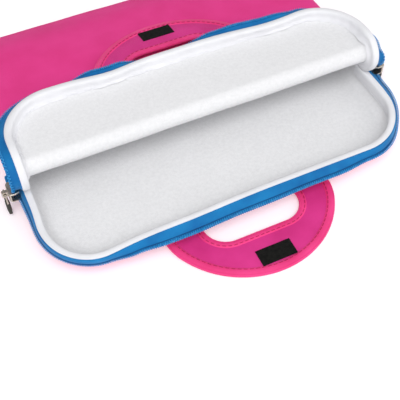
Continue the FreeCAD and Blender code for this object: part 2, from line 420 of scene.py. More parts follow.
def tube_rings(points, radius, sides=6):
    """Rings round a line of points, turned as little as possible from one to the next."""
    points = np.asarray(points, float)
    tangent = np.gradient(points, axis=0)
    tangent /= np.linalg.norm(tangent, axis=1)[:, None]
    normal = np.cross(tangent[0], (0.0, 0.0, 1.0))
    if np.linalg.norm(normal) < 0.1:
        normal = np.cross(tangent[0], (1.0, 0.0, 0.0))
    rings = []
    angles = np.linspace(0, 2 * np.pi, sides, endpoint=False)
    for p, t in zip(points, tangent):
        normal = normal - t * np.dot(normal, t)
        normal /= np.linalg.norm(normal)
        side = np.cross(t, normal)
        rings.append([p + radius * (math.cos(a) * normal + math.sin(a) * side) for a in angles])
    return np.array(rings)


def metres(point):
    """A point in millimetres given in metres."""
    return tuple(v / 1000.0 for v in point)


# ================================ materials =================================

def new_material(name):
    """A new material and its node parts."""
    material = bpy.data.materials.new(name)
    material.use_nodes = True
    nodes = material.node_tree.nodes
    shader = next(n for n in nodes if n.type == "BSDF_PRINCIPLED")
    return material, nodes, material.node_tree.links, shader


def coordinates(nodes, links, scale):
    """Object coordinates, stretched by a scale along each axis."""
    where = nodes.new("ShaderNodeTexCoord")
    mapping = nodes.new("ShaderNodeMapping")
    mapping.inputs["Scale"].default_value = scale
    links.new(where.outputs["Object"], mapping.inputs["Vector"])
    return mapping.outputs["Vector"]


def noise(nodes, links, vector, scale, detail=3.0, roughness=0.5):
    """A noise value between 0 and 1."""
    node = nodes.new("ShaderNodeTexNoise")
    node.inputs["Scale"].default_value = scale
    node.inputs["Detail"].default_value = detail
    node.inputs["Roughness"].default_value = roughness
    links.new(vector, node.inputs["Vector"])
    return node.outputs["Fac"]


def two_tone(nodes, links, fac, dark, light, low=0.35, high=0.65):
    """A colour that goes from dark to light as the value rises."""
    ramp = nodes.new("ShaderNodeValToRGB")
    ramp.color_ramp.elements[0].position = low
    ramp.color_ramp.elements[0].color = (*dark, 1)
    ramp.color_ramp.elements[1].position = high
    ramp.color_ramp.elements[1].color = (*light, 1)
    links.new(fac, ramp.inputs["Fac"])
    return ramp.outputs["Color"]


def bump(nodes, links, height, strength, distance, below=None):
    """A bumped normal, on top of another one if given."""
    node = nodes.new("ShaderNodeBump")
    node.inputs["Strength"].default_value = strength
    node.inputs["Distance"].default_value = distance
    links.new(height, node.inputs["Height"])
    if below is not None:
        links.new(below, node.inputs["Normal"])
    return node.outputs["Normal"]


def weave(nodes, links, vector, scale):
    """Two crossed sets of ridges, as threads over and under."""
    total = None
    for direction in ("X", "Y"):
        wave = nodes.new("ShaderNodeTexWave")
        wave.bands_direction = direction
        wave.inputs["Scale"].default_value = scale
        wave.inputs["Distortion"].default_value = 1.2
        wave.inputs["Detail"].default_value = 1.0
        links.new(vector, wave.inputs["Vector"])
        if total is None:
            total = wave.outputs["Fac"]
        else:
            add = nodes.new("ShaderNodeMath")
            add.operation = "ADD"
            links.new(total, add.inputs[0])
            links.new(wave.outputs["Fac"], add.inputs[1])
            total = add.outputs["Value"]
    return total


def knit(name, dark, light, roughness=0.75, sheen=0.3, grain=900.0, depth=0.00012):
    """Cloth with fine crossed threads, slow colour variation and a soft sheen."""
    material, nodes, links, shader = new_material(name)
    vector = coordinates(nodes, links, (1, 1, 1))
    tone = noise(nodes, links, vector, 38.0, 4.0)
    links.new(two_tone(nodes, links, tone, dark, light), shader.inputs["Base Color"])
    threads = weave(nodes, links, vector, grain)
    fine = bump(nodes, links, threads, 0.35, depth)
    slow = noise(nodes, links, vector, 160.0, 3.0)
    links.new(bump(nodes, links, slow, 0.25, 0.0004, fine), shader.inputs["Normal"])
    shader.inputs["Roughness"].default_value = roughness
    shader.inputs["Sheen Weight"].default_value = sheen
    shader.inputs["Sheen Roughness"].default_value = 0.4
    shader.inputs["Specular IOR Level"].default_value = 0.22
    return material


def plush(name, dark, light, sheen=0.15):
    """Short brushed pile: fine tufts over soft mottling."""
    material, nodes, links, shader = new_material(name)
    vector = coordinates(nodes, links, (1, 1, 1))
    tone = noise(nodes, links, vector, 420.0, 6.0, 0.7)
    links.new(two_tone(nodes, links, tone, dark, light, 0.3, 0.62), shader.inputs["Base Color"])
    tufts = noise(nodes, links, vector, 1100.0, 5.0, 0.7)
    clumps = noise(nodes, links, vector, 320.0, 4.0, 0.6)
    fine = bump(nodes, links, tufts, 0.5, 0.0005)
    links.new(bump(nodes, links, clumps, 0.2, 0.0006, fine), shader.inputs["Normal"])
    shader.inputs["Roughness"].default_value = 0.95
    shader.inputs["Sheen Weight"].default_value = sheen
    shader.inputs["Sheen Roughness"].default_value = 0.6
    shader.inputs["Specular IOR Level"].default_value = 0.15
    return material


def smooth_plastic(name, dark, light, roughness):
    """Moulded plastic or rubber with a very fine grain."""
    material, nodes, links, shader = new_material(name)
    vector = coordinates(nodes, links, (1, 1, 1))
    tone = noise(nodes, links, vector, 600.0, 2.0)
    links.new(two_tone(nodes, links, tone, dark, light), shader.inputs["Base Color"])
    grain = noise(nodes, links, vector, 2500.0, 2.0)
    links.new(bump(nodes, links, grain, 0.2, 0.00008), shader.inputs["Normal"])
    shader.inputs["Roughness"].default_value = roughness
    return material


def plated_metal(name, dark, light):
    """Plated cast metal with fine scratches and duller worn spots."""
    material, nodes, links, shader = new_material(name)
    vector = coordinates(nodes, links, (1, 1, 1))
    tone = noise(nodes, links, vector, 420.0, 4.0)
    links.new(two_tone(nodes, links, tone, dark, light), shader.inputs["Base Color"])
    wear = nodes.new("ShaderNodeMapRange")
    wear.inputs["To Min"].default_value = 0.18
    wear.inputs["To Max"].default_value = 0.42
    links.new(noise(nodes, links, vector, 900.0, 3.0), wear.inputs["Value"])
    links.new(wear.outputs["Result"], shader.inputs["Roughness"])
    scratches = noise(nodes, links, coordinates(nodes, links, (1, 8, 1)), 1500.0, 2.0)
    links.new(bump(nodes, links, scratches, 0.15, 0.00005), shader.inputs["Normal"])
    shader.inputs["Metallic"].default_value = 1.0
    return material


MATERIALS = {
    "pink_neoprene": knit("pink_neoprene", (0.74, 0.038, 0.235), (0.79, 0.048, 0.27), 0.7, 0.02),
    "white_plush": plush("white_plush", (0.69, 0.69, 0.705), (0.76, 0.76, 0.775)),
    "white_binding": knit("white_binding", (0.73, 0.73, 0.76), (0.79, 0.79, 0.82), 0.8, 0.15, 700.0),
    "blue_tape": knit("blue_tape", (0.002, 0.125, 0.36), (0.006, 0.20, 0.48), 0.7, 0.08, 1100.0),
    "blue_coil": smooth_plastic("blue_coil", (0.006, 0.17, 0.44), (0.02, 0.3, 0.64), 0.35),
    "nickel": plated_metal("nickel", (0.42, 0.37, 0.31), (0.62, 0.57, 0.5)),
    "black_rubber": smooth_plastic("black_rubber", (0.012, 0.012, 0.008), (0.03, 0.03, 0.02), 0.55),
    "handle_foam": plush("handle_foam", (0.05, 0.04, 0.045), (0.08, 0.07, 0.075)),
    "handle_face": knit("handle_face", (0.59, 0.024, 0.20), (0.68, 0.036, 0.25), 0.65, 0.08),
    "handle_binding": knit("handle_binding", (0.74, 0.036, 0.19), (0.83, 0.056, 0.25), 0.6, 0.1, 700.0),
    # Dark blue thread for the stitch row in the tape's groove: darker than the tape, as painted shade of the
    # groove beside the coil.
    "groove_thread_painted_shade": knit("groove_thread_painted_shade", (0.004, 0.05, 0.17), (0.006, 0.08, 0.24), 0.7, 0.1, 1500.0),
    "thread": knit("thread", (0.42, 0.006, 0.08), (0.52, 0.010, 0.11), 0.5, 0.1, 1500.0),
    "black_hook": plush("black_hook", (0.002, 0.002, 0.002), (0.010, 0.010, 0.009), 0.0),
    "black_loop": plush("black_loop", (0.003, 0.003, 0.003), (0.012, 0.012, 0.011), 0.0),
}


# ============================== the two panels ==============================

def tray_rings(depth, top_trim):
    """Rings of the back panel's layer, from the middle of the floor up to its edge."""
    rings = []
    for inset in FLOOR_INSETS:
        rings.append((inset, depth))
    radius = BOTTOM_ROUND - depth
    for a in np.radians(np.linspace(0, 90, 10)):
        rings.append((BOTTOM_ROUND - radius * math.sin(a), BOTTOM_ROUND - radius * math.cos(a)))
    rings.append((depth, 15.5))
    rings.append((depth, RIM - top_trim))
    grid = []
    for inset, z in rings:
        path = whole_loop(inset)
        x, y = path[:, 0], path[:, 1]
        share = seam_z(y) / RIM
        swell = np.clip((inset - 8.0) / 20.0, 0, 1) * np.clip(softness(x, y) + 0.3, 0, 1)
        level = np.where(depth > 0, z * share + swell * (depth > 2.5), z * share)
        grid.append(np.stack([x, y, level], -1))
    return lean_out(grid)


def tray(name, outer_depth, inner_depth, top_trim, slot):
    """A closed bowl-shaped layer of the back panel."""
    upper = tray_rings(outer_depth, top_trim)
    lower = tray_rings(inner_depth, top_trim)
    wrap = np.concatenate([upper, upper[:, :1]], 1), np.concatenate([lower, lower[:, :1]], 1)
    obj = solid_sheet(name, [wrap], slot)
    bm = bmesh.new()
    bm.from_mesh(obj.data)
    bmesh.ops.remove_doubles(bm, verts=bm.verts, dist=0.00001)
    bmesh.ops.holes_fill(bm, edges=[e for e in bm.edges if e.is_boundary], sides=0)
    bm.to_mesh(obj.data)
    bm.free()
    shade_smooth(obj)
    return obj


def fixed_grid(depth, rim):
    """The front panel behind the fold, as nested U shapes."""
    inset, drop = columns(depth, rim, whole=True)
    rows = []
    for d, fall in zip(inset, drop):
        radius = max(FAR_CORNER * (1 - d / HALF), 0.0)
        path = far_path(d, BEND_START, radius)
        rows.append(panel_point(path[:, 0], path[:, 1], fall, depth))
    return np.array(rows)


def flap_grid(depth, rim):
    """The flap beyond the fold, as nested U shapes."""
    inset, drop = columns(depth, rim, whole=False)
    rows = []
    for d, fall in zip(inset, drop):
        radius = max(NEAR_CORNER * (1 - d / FLAP_INSET), 0.0)
        path = near_path(d, BEND_START - BEND_LENGTH, radius)
        rows.append(panel_point(path[:, 0], path[:, 1], fall, depth))
    return np.array(rows)


def bend_grid(depth, rim, u0, u1, count):
    """A band across the whole panel between two distances into the fold."""
    inset, drop = columns(depth, rim, whole=True)
    x = np.concatenate([-(HALF - inset), (HALF - inset)[-2::-1]])
    fall = np.concatenate([drop, drop[-2::-1]])
    rows = []
    for u in np.linspace(u0, u1, count):
        rows.append(panel_point(x, BEND_START - u, fall, depth))
    return np.array(rows)


def layer_pair(builder, outer_depth, inner_depth, *rest):
    """The two faces of one layer, drawn by the same grid builder."""
    return builder(outer_depth, *rest), builder(inner_depth, *rest)


def bend_with(piece):
    """Bake a piece's placement into its mesh."""
    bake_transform(piece)


def panel_layers(name, outer_depth, inner_depth, slot, cad_suffix):
    """One layer of the front panel in four pieces, cut at the middle of each CAD strip."""
    depths = (outer_depth, inner_depth)
    step = HINGE_STEP
    fixed = solid_sheet("front_" + name, [
        layer_pair(fixed_grid, *depths, SKIN_RIM),
        layer_pair(bend_grid, *depths, SKIN_RIM, 0.0, step, 9)], slot)
    bends = []
    for k in (1, 2):
        bends.append(solid_sheet("fold_%s_%d" % (name, k), [
            layer_pair(bend_grid, *depths, SKIN_RIM, k * step, (k + 1) * step, 9)], slot))
    flap = solid_sheet("flap_" + name, [
        layer_pair(flap_grid, *depths, SKIN_RIM),
        layer_pair(bend_grid, *depths, SKIN_RIM, 3 * step, 4 * step, 9)], slot)
    for index, piece in enumerate([fixed] + bends + [flap]):
        bend_with(piece)
    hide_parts("front_" + cad_suffix)
    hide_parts("fold_1_" + cad_suffix, "fold_2_" + cad_suffix)
    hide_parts("fold_3_" + cad_suffix)
    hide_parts("flap_" + cad_suffix)
    return [fixed] + bends + [flap]


# ================================ rim and zip ===============================

def path_frames(path):
    """Unit outward normals of a U path drawn from left to right round the near side."""
    tangent = np.gradient(path, axis=0)
    tangent /= np.linalg.norm(tangent, axis=1)[:, None]
    return np.stack([tangent[:, 1], -tangent[:, 0]], -1)


def rim_path(y_end, spacing=2.0):
    """The near U on the wall's outer face, evenly spaced."""
    fine = near_path(0.0, y_end, NEAR_CORNER, 200, 200, 400)
    run = distances(fine)
    at = np.linspace(0, run[-1], int(run[-1] / spacing) + 1)
    return np.stack([np.interp(at, run, fine[:, 0]), np.interp(at, run, fine[:, 1])], -1), at


# Inset from the wall's outer face, and height, round the section of the strip.
TRAY_BINDING_PROFILE = ((-0.2, 18.7), (-0.15, 19.5), (0.5, 19.95), (2.4, 20.1), (4.1, 20.0), (4.9, 19.3),
                        (5.1, 17.0), (5.05, 14.0), (5.0, 11.5), (4.75, 10.3), (4.2, 10.0), (4.1, 15.0),
                        (4.0, 18.9), (2.0, 19.0))


def back_binding():
    """White knit strip over the tray's edge and a finger's width down inside."""
    path, run = rim_path(-38.0)
    out = path_frames(path)
    rings = []
    for p, n, s in zip(path, out, run):
        ring = []
        for inset, z in TRAY_BINDING_PROFILE:
            ripple = 0.22 * math.sin(s / 6.3) * max(0.0, 1 - abs(z - 14.0) / 6.0)
            reach = inset + ripple
            ring.append((p[0] - n[0] * reach, p[1] - n[1] * reach, z))
        rings.append(ring)
    piece = sweep("back_rim_binding", lean_out(rings), "white_binding", smooth=60)
    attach(piece, "base")
    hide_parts("back_binding")


# Stations of a tape: distance along the rim, tilt in degrees, and width.
TRAY_TAPE = ((0, 62, 7.0), (60, 84, 7.0), (100, 86, 6.6), (118, 60, 7.6), (140, 36, 8.6), (215, 30, 8.6),
             (262, 34, 8.0), (292, 66, 7.0), (330, 84, 6.6), (366, 40, 7.4), (397, 18, 7.6))
FLAP_TAPE = ((0, 2, 7.0), (18, 4, 7.2), (36, 24, 7.2), (66, 48, 7.0), (90, 52, 7.0), (110, -8, 7.2),
             (126, -6, 7.2), (146, 50, 7.0), (176, 50, 7.0), (204, 0, 7.4), (222, -20, 7.6), (248, -16, 7.4),
             (270, 24, 7.0), (292, 66, 7.0), (318, 72, 6.8), (342, 62, 7.0))

# Where the flap's tape bends up against the wall: inset and height, and how far it turns.
TAPE_PIVOT = (-1.2, 2.6)
LEG_TILT = math.radians(62.0)


def tape_hang(stations, run):
    """Tilt and width of a tape along the rim, eased between its stations."""
    at, tilt, width = (np.array(v, float) for v in zip(*stations))
    k = np.clip(np.searchsorted(at, run) - 1, 0, len(at) - 2)
    t = smoothstep((run - at[k]) / (at[k + 1] - at[k]))
    return np.radians(tilt[k] * (1 - t) + tilt[k + 1] * t), width[k] * (1 - t) + width[k + 1] * t


# Round the section of each tape: share of its width out, and height off its face.
TRAY_TAPE_SECTION = ((-0.1, 0.35), (0.0, 0.55), (0.3, 0.4), (0.62, 0.35), (0.68, 0.15), (0.74, 0.3),
                     (1.0, 0.3), (1.0, -0.3), (0.6, -0.35), (0.3, -0.35), (-0.1, -0.35))
FLAP_TAPE_SECTION = ((0.0, 0.0), (0.1, 0.0), (0.2, 0.1), (0.6, 0.0), (0.68, -0.15), (0.75, 0.0),
                     (1.0, 0.0), (1.0, 0.6), (0.6, 0.6), (0.22, 0.7), (0.12, 0.8), (0.0, 1.0))


def off_rim(path, out, run, at, across):
    """Plan position of a point at a run along the rim, and a distance out from it."""
    return (np.interp(at, run, path[:, k]) + np.interp(at, run, out[:, k]) * across for k in (0, 1))


def on_tape(path, out, run, at, reach, lift):
    """Points on the tray's tape: at a run, a share of its width out, and a height off its face."""
    tilt, width = tape_hang(TRAY_TAPE, at)
    r = reach * width
    sway = 0.35 * np.sin(at / 9.0) * reach
    level = TAPE_Z - r * np.sin(tilt) + lift * np.cos(tilt) + sway
    across = 0.3 + r * np.cos(tilt) + lift * np.sin(tilt)
    x, y = off_rim(path, out, run, at, across)
    return lean_out(np.stack([x, y, level], -1))


def coil_turns(start, end, count):
    """Distances along the rim, and the angle that the coil has turned through at each."""
    t = np.linspace(start, end, count)
    return t, 2 * np.pi * t / COIL_PITCH


def back_zip():
    """The tray's half of the zip: woven tape, a stitched groove and the coil. The stitch thread is darker
    than the tape, as painted shade of the groove.
    """
    path, run = rim_path(-34.0)
    out = path_frames(path)
    rings = np.stack([on_tape(path, out, run, run, *spot) for spot in TRAY_TAPE_SECTION], 1)
    tape = sweep("back_tape", rings, "blue_tape")
    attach(tape, "base")
    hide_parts("back_zip_tape")
    # A stitch row in the tape's groove; its thread is coloured darker than the tape as painted shade of the
    # groove.
    seam = on_tape(path, out, run, run, 0.68, 0.3)
    groove = sweep("back_tape_stitch_painted_shade", tube_rings(seam, 0.3, 6), "groove_thread_painted_shade")
    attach(groove, "base")
    t, angle = coil_turns(0, run[-1], int(run[-1] / COIL_PITCH) * COIL_STEPS + 1)
    line = on_tape(path, out, run, t, 0.89 + 0.12 * np.cos(angle), 1.0 + COIL_RISE * np.sin(angle))
    coil = sweep("back_coil", tube_rings(line, COIL_WIRE, 5), "blue_coil")
    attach(coil, "base")
    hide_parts("back_zip_coil")


def over_flap(x, y, wall_y, above):
    """A point so far above the flap's rim, when zipped shut, laid over the fold."""
    share = curl_share(wall_y)
    sag = sag_in(np.asarray(x, float), wall_y, FLAP_RIM + np.maximum(above, 0))
    return place(x, y + sag, (FLAP_RIM - LINING_Z + np.maximum(above, 0)) * share + np.minimum(above, 0))


def leg_tilted(side, u, inset, above):
    """The right leg's tape turns up against the wall as it leaves the fold."""
    turn = LEG_TILT * smoothstep((u - 9.0) / 9.0) * (side > 0) * (inset < TAPE_PIVOT[0])
    out, up = TAPE_PIVOT[0] - inset, above - TAPE_PIVOT[1]
    return (TAPE_PIVOT[0] - out * np.cos(turn) + up * np.sin(turn),
            TAPE_PIVOT[1] + out * np.sin(turn) + up * np.cos(turn))


def flap_band(profile, u_start, u_end, side):
    """Rings along one leg of the flap's rim between two distances into the fold."""
    rings = []
    for u in np.linspace(u_start, u_end, 9):
        y = BEND_START - u
        tilted = [leg_tilted(side, u, inset, above) for inset, above in profile]
        rings.append([over_flap(side * (HALF - inset), y, y, above) for inset, above in tilted])
    return rings


def flap_rings(profile, path, out):
    """Rings round the flap's rim, with the small puckers that sewing leaves in the band."""
    rings = []
    for p, n in zip(path, out):
        pucker = 0.26 * math.sin(p[0] / 2.3 + p[1] / 1.9) + 0.36 * math.sin(p[0] / 7.1 - p[1] / 5.3)
        ring = []
        for inset, above in profile:
            reach = inset + pucker * smoothstep((above - 1.0) / 3.0) * (inset > 4.6)
            ring.append(over_flap(p[0] - n[0] * reach, p[1] - n[1] * reach, p[1], above))
        rings.append(ring)
    return rings


# Inset from the wall's outer face, and height above the rim, round each strip's section.
BINDING_PROFILE = [(-0.2, 1.4), (-0.15, 0.7), (0.5, 0.15), (2.4, -0.02), (4.1, 0.1), (4.8, 0.8), (4.95, 2.6),
                   (4.9, 4.7), (5.3, 6.25), (6.3, 7.3), (6.9, 7.9), (6.6, 8.4), (5.15, 7.5), (4.0, 4.7),
                   (4.0, 1.0)]
TAPE_PROFILE = [(0.2, 0.6), (-0.6, 1.6), (-1.4, 2.5), (-4.2, 2.6), (-4.8, 2.45), (-5.3, 2.6), (-7.0, 2.7),
                (-7.0, 3.3), (-4.2, 3.2), (-1.7, 3.2), (-0.8, 2.7), (0.2, 1.7)]


def flap_trim(name, profile, round_rings, slot, cad):
    """A strip along the flap's whole rim, cut into the same pieces as the fold."""
    pieces = []
    for index in range(HINGES - 1):
        start = TRIM_START if index == 0 else index * HINGE_STEP
        end = (index + 1) * HINGE_STEP
        legs = [sweep("%s_%d_%d" % (name, index, side), flap_band(profile, start, end, side), slot)
                for side in (-1, 1)]
        pieces.append(join("%s_bend_%d" % (name, index + 1), legs))
    path, run = rim_path(BEND_START - (HINGES - 1) * HINGE_STEP)
    pieces.append(sweep(name, round_rings(path, path_frames(path), run), slot, smooth=60))
    for index, piece in enumerate(pieces):
        bend_with(piece)
    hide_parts(cad)


def on_flap_tape(path, out, run, at, reach, lift):
    """Points on the flap's tape: at a run, a share of its width out, and a height off its face."""
    tilt, width = tape_hang(FLAP_TAPE, at)
    r = reach * width
    across = 1.2 + (r - 1.2) * np.cos(tilt) - lift * np.sin(tilt)
    above = 2.5 + (r - 1.2) * np.sin(tilt) + lift * np.cos(tilt)
    above = np.where(reach < 0.2, 0.6 + 10 * reach + lift, above)
    across = np.where(reach < 0.2, 8 * reach - 0.2, across)
    x, y = off_rim(path, out, run, at, across)
    return over_flap(x, y, np.interp(at, run, path[:, 1]), above)


def binding_rings(path, out, run):
    """The binding beyond the fold; each strip's builder takes these three values."""
    return flap_rings(BINDING_PROFILE, path, out)


def tape_rings(path, out, run):
    """The tape's rings beyond the fold."""
    return np.stack([on_flap_tape(path, out, run, run, *spot) for spot in FLAP_TAPE_SECTION], 1)


def coil_leg(name, start, end, side):
    """The coil along one leg of the flap's rim, between two distances into the fold."""
    t, angle = coil_turns(start, end, int((end - start) / COIL_PITCH * COIL_STEPS) + 2)
    y = BEND_START - t
    inset, above = leg_tilted(side, t, -6.2 - 0.85 * np.cos(angle), 2.1 + COIL_RISE * np.sin(angle))
    x = side * (HALF - inset)
    return sweep(name, tube_rings(over_flap(x, y, y, above), COIL_WIRE, 5), "blue_coil")


def coil_round(name, start):
    """The coil round the flap's rim beyond the fold."""
    path, run = rim_path(BEND_START - start)
    t, angle = coil_turns(0, run[-1], int(run[-1] / COIL_PITCH) * COIL_STEPS + 1)
    points = on_flap_tape(path, path_frames(path), run, t,
                          0.88 + 0.12 * np.cos(angle), -0.55 + COIL_RISE * np.sin(angle))
    return sweep(name, tube_rings(points, COIL_WIRE, 5), "blue_coil")


def flap_coil():
    """The flap's coil, in the same pieces as the fold."""
    pieces = []
    for index in range(HINGES - 1):
        start = TRIM_START if index == 0 else index * HINGE_STEP
        end = (index + 1) * HINGE_STEP
        legs = [coil_leg("flap_coil_%d_%d" % (index, side), start, end, side) for side in (-1, 1)]
        pieces.append(join("flap_coil_bend_%d" % (index + 1), legs))
    pieces.append(coil_round("flap_coil", (HINGES - 1) * HINGE_STEP))
    for index, piece in enumerate(pieces):
        bend_with(piece)
    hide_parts("flap_zip_coil")


# ================================= handles ==================================

def outer_curve(inset, count=97):
    """The handle's outer edge moved inwards, from the left root round to the right root."""
    join_angle = math.degrees(math.atan2(-END_V, SIDE_U))
    r = SIDE_R - inset
    big = SIDE_R + math.hypot(SIDE_U, END_V) - inset
    fine = np.concatenate([
        straight(-SIDE_U - r, -5.0, -SIDE_U - r, 0.0, 20)[:-1],
        corner_arc(-SIDE_U, 0, r, 180, 180 - join_angle, 120)[:-1],
        corner_arc(0, END_V, big, 180 - join_angle, join_angle, 300)[:-1],
        corner_arc(SIDE_U, 0, r, join_angle, 0, 120)[:-1],
        straight(SIDE_U + r, 0.0, SIDE_U + r, -5.0, 20)])
    return even(fine, count)


def grip_curve(grow, count=97):
    """The grip opening's edge moved outwards by grow."""
    half = GRIP_HALF + grow
    r = GRIP_CORNER + grow
    side = GRIP_HALF - GRIP_CORNER
    low = GRIP_DEPTH - GRIP_CORNER
    fine = np.concatenate([
        straight(-half, -5.0, -half, low, 40)[:-1],
        corner_arc(-side, low, r, 180, 90, 120)[:-1],
        straight(-side, GRIP_DEPTH + grow, side, GRIP_DEPTH + grow, 160)[:-1],
        corner_arc(side, low, r, 90, 0, 120)[:-1],
        straight(half, low, half, -5.0, 40)])
    return even(fine, count)


def even(fine, count):
    """The same line with evenly spaced points."""
    run = distances(fine)
    at = np.linspace(0, run[-1], count)
    return np.stack([np.interp(at, run, fine[:, 0]), np.interp(at, run, fine[:, 1])], -1)


def on_back(u, v, w):
    """A handle point lying on the table in front of the back panel."""
    return np.stack(np.broadcast_arrays(-np.asarray(u, float), HANDLE_Y - v, w), -1)


def on_front(u, v, w):
    """A handle point on the flap, drooping beyond its hinge line, laid over the fold."""
    u, v, w = np.broadcast_arrays(np.asarray(u, float), v, w)
    turn = DROOP * smoothstep((v - HINGE_V + 4) / 8.0)
    dv, dw = v - HINGE_V, w - HANDLE_THICK
    v2 = HINGE_V + dv * np.cos(turn) + dw * np.sin(turn)
    w2 = HANDLE_THICK - dv * np.sin(turn) + dw * np.cos(turn)
    beyond = v > HINGE_V - 4
    v = np.where(beyond, v2, v)
    w = np.where(beyond, w2, w)
    return place(u, HANDLE_Y - v, WALL - w)


# Distance in from the edge, and height, round the section of each handle binding.
OUTER_PROFILE = [(0.0, 1.6), (0.1, 2.4), (0.6, 3.0), (1.2, 2.85), (1.5, 3.05), (3.0, 3.3), (4.6, 3.2),
                 (5.7, 2.8), (6.3, 2.3), (6.3, 0.5), (4.6, 0.1), (3.0, 0.0), (1.2, 0.05), (0.3, 0.5)]
GRIP_PROFILE = [(0.0, 1.6), (0.1, 2.4), (0.6, 3.0), (1.1, 2.85), (1.4, 3.05), (2.6, 3.25), (3.9, 3.1),
                (4.8, 2.8), (5.3, 2.3), (5.3, 0.5), (3.9, 0.1), (2.6, 0.0), (1.1, 0.05), (0.3, 0.5)]


def handle_band(name, curve, profile, lay):
    """A rolled binding along one edge of a handle."""
    curves = {inset: curve(inset) for inset, w in profile}
    rings = []
    for i in range(len(curves[profile[0][0]])):
        rings.append([lay(*curves[inset][i], w) for inset, w in profile])
    return sweep(name, rings, "handle_binding", smooth=60)


def handle_face(name, lay):
    """The padded middle of the handle, crowned between its two bindings."""
    outer = outer_curve(OUTER_BAND - 0.6)
    inner = grip_curve(INNER_BAND - 0.6)
    upper, lower = [], []
    for a, b in zip(outer, inner):
        top_row, low_row = [], []
        for t in np.linspace(0, 1, 9):
            u, v = a * (1 - t) + b * t
            crown = math.sin(math.pi * t)
            top_row.append(lay(u, v, 2.45 + 0.45 * crown))
            low_row.append(lay(u, v, 0.6 - 0.4 * crown))
        upper.append(top_row)
        lower.append(low_row)
    return solid_sheet(name, [(np.array(upper), np.array(lower))], "handle_face")


def running_stitch(name, curve, lay, height):
    """Separate stitches of thread along a curve on a handle."""
    line = even(curve, 800)
    return stitch_row(name, lay(line[:, 0], line[:, 1], height), "thread", 2.4, 3.9, 0.34)


def patch(name, lay, slot):
    """A rectangle of hook or loop tape with a ragged pile."""
    u = np.linspace(-PATCH_HALF, PATCH_HALF, 64)
    v = np.linspace(PATCH_V, PATCH_V + PATCH_WIDTH, 32)
    pile = rng.normal(0, PATCH_PILE, (len(v), len(u)))
    upper = np.array([[lay(a, b, PATCH_TOP + pile[j, i]) for i, a in enumerate(u)] for j, b in enumerate(v)])
    lower = np.array([[lay(a, b, PATCH_BOTTOM) for a in u] for b in v])
    return solid_sheet(name, [(upper, lower)], slot)


def handle(side, lay, body, slot):
    """One whole handle, shaped by its lay function; the front one droops beyond its hinge line."""
    pieces = {
        "outer": handle_band("handle_%s_edge" % side, outer_curve, OUTER_PROFILE, lay),
        "grip": handle_band("handle_%s_grip" % side, grip_curve, GRIP_PROFILE, lay),
        "face": handle_face("handle_%s_pad" % side, lay),
        "outer_stitch": running_stitch("handle_%s_stitch_out" % side, outer_curve(4.9), lay, 3.25),
        "grip_stitch": running_stitch("handle_%s_stitch_in" % side, grip_curve(3.9), lay, 3.15),
    }
    start = metres(lay(0.0, HINGE_V - 2.5, 1.6))
    end = metres(lay(0.0, HINGE_V + 2.5, 1.6))
    for piece in pieces.values():
        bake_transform(piece)
    stem = "handle_%s_" % side
    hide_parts(stem + "outer_binding", stem + "root")
    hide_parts(stem + "grip_binding")
    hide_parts(stem + "foam", stem + "face", stem + "backing")
    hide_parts(stem + "outer_stitch")
    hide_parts(stem + "grip_stitch")
    tab = patch("handle_%s_fastener" % side, lay, slot)
    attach(tab, body)
    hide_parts(stem + "patch")


def rim_stitches():
    """Two rows of white thread that hold the bindings down, on the tray and on the flap."""
    path, run = rim_path(-40.0)
    inside = path - TRAY_STITCH_INSET * path_frames(path)
    low = np.column_stack([inside, np.full(len(run), TRAY_STITCH_Z)])
    tray_row = stitch_row("back_rim_stitches", lean_out(low), "white_binding")
    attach(tray_row, "base")
    path, run = rim_path(BEND_START - (HINGES - 1) * HINGE_STEP - 3.0)
    inside = path - FLAP_STITCH_INSET * path_frames(path)
    row = over_flap(inside[:, 0], inside[:, 1], path[:, 1], FLAP_STITCH_ABOVE)
    flap_row = stitch_row("flap_rim_stitches", row, "white_binding")
    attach(flap_row, "flap")


# ================================ hard pieces ===============================

def rounded_box(name, low, high, radius, slot, rings=5):
    """A block with every edge rounded, from its two corners."""
    low, high = np.array(low), np.array(high)
    bm = bmesh.new()
    bmesh.ops.create_cube(bm, size=1.0)
    for vert in bm.verts:
        vert.co = Vector(((low + high) / 2 + np.array(vert.co) * (high - low)).tolist())
    bmesh.ops.bevel(bm, geom=bm.edges[:], offset=radius, segments=rings, affect="EDGES", profile=0.5)
    points = [tuple(v.co) for v in bm.verts]
    faces = [tuple(v.index for v in f.verts) for f in bm.faces]
    bm.free()
    return to_mesh(name, points, faces, slot)


def pull_grip(side):
    """A moulded rubber tab with raised ribs across its faces."""
    name = "right" if side > 0 else "left"
    x = side * PULL_X
    top = PULL_Z - 6.4
    bottom = PULL_Z - PULL_LENGTH
    made = [rounded_box("grip", (x - 1.2, SLIDER_Y - 2.9, bottom), (x + 1.2, SLIDER_Y + 2.9, top), 0.7,
                        "black_rubber")]
    for k in range(PULL_RIBS):
        z = bottom + 2.6 + 2.1 * k
        made.append(rounded_box("rib", (x - 1.5, SLIDER_Y - 2.2, z), (x + 1.5, SLIDER_Y + 2.2, z + 0.9),
                                0.4, "black_rubber", 3))
    piece = join("pull_tab_" + name, made)
    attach(piece, "pull_" + name)
    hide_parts("pull_grip_" + name)


def zip_end(side):
    """The folded tape sewn down over the end of the zip."""
    name = "right" if side > 0 else "left"
    x0, x1 = sorted((side * (HALF - 0.4), side * (HALF + TAPE_REACH + 1.0)))
    piece = rounded_box("zip_tab_" + name, (x0, -39.7, 18.8), (x1, -33.8, 24.0), 1.3, "blue_tape")
    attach(piece, "base")
    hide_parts("zip_end_" + name)


